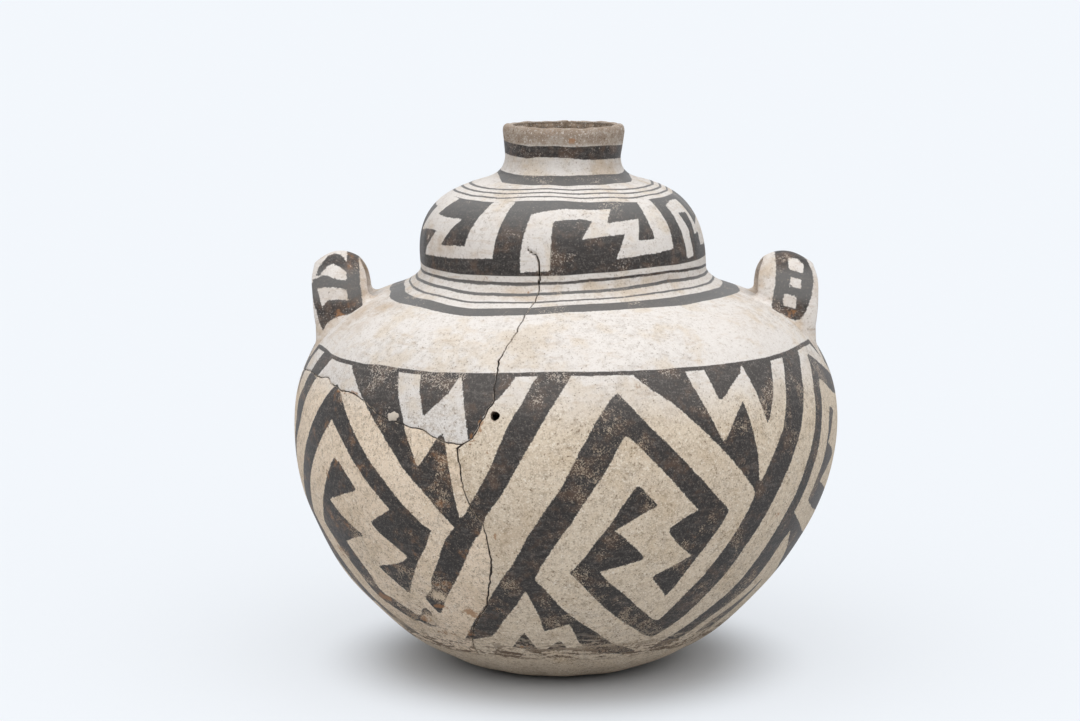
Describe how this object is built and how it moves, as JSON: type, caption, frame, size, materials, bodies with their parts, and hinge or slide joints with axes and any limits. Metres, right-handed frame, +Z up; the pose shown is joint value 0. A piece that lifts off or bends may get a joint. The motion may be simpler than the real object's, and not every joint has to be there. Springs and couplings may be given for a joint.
{
  "type": "pottery jar",
  "caption": "Round-bodied pottery storage jar with a stepped upper lobe, short neck and pierced strap lugs, painted black on white and mended from sherds.",
  "frame": {"origin": "middle of the flat that the jar stands on", "axes": "+Z up along the jar's axis, -Y towards the pictured front, the strap lugs at -X and +X"},
  "size_m": [0.2999, 0.2995, 0.298],
  "materials": {
    "slipped_clay": "matte",
    "slipped_clay_grey": "matte",
    "slipped_clay_tan": "matte",
    "bare_clay": "matte",
    "worn_lip": "matte",
    "old_glue": "satin",
    "plaster": "matte"
  },
  "bodies": {
    "root": {"base_dish": "bare_clay", "body_sherd_right": "slipped_clay", "body_sherd_upper_left": "slipped_clay_grey", "body_sherd_lower_left": "slipped_clay_tan", "upper_lobe": "slipped_clay", "neck_collar": "slipped_clay", "rim_coil": "worn_lip", "strap_lug_left": "slipped_clay", "strap_lug_right": "slipped_clay", "glue_front_crack": "old_glue", "glue_side_crack": "old_glue", "glue_rear_crack": "old_glue", "filler_side_crack": "plaster"}
  },
  "joints": []
}
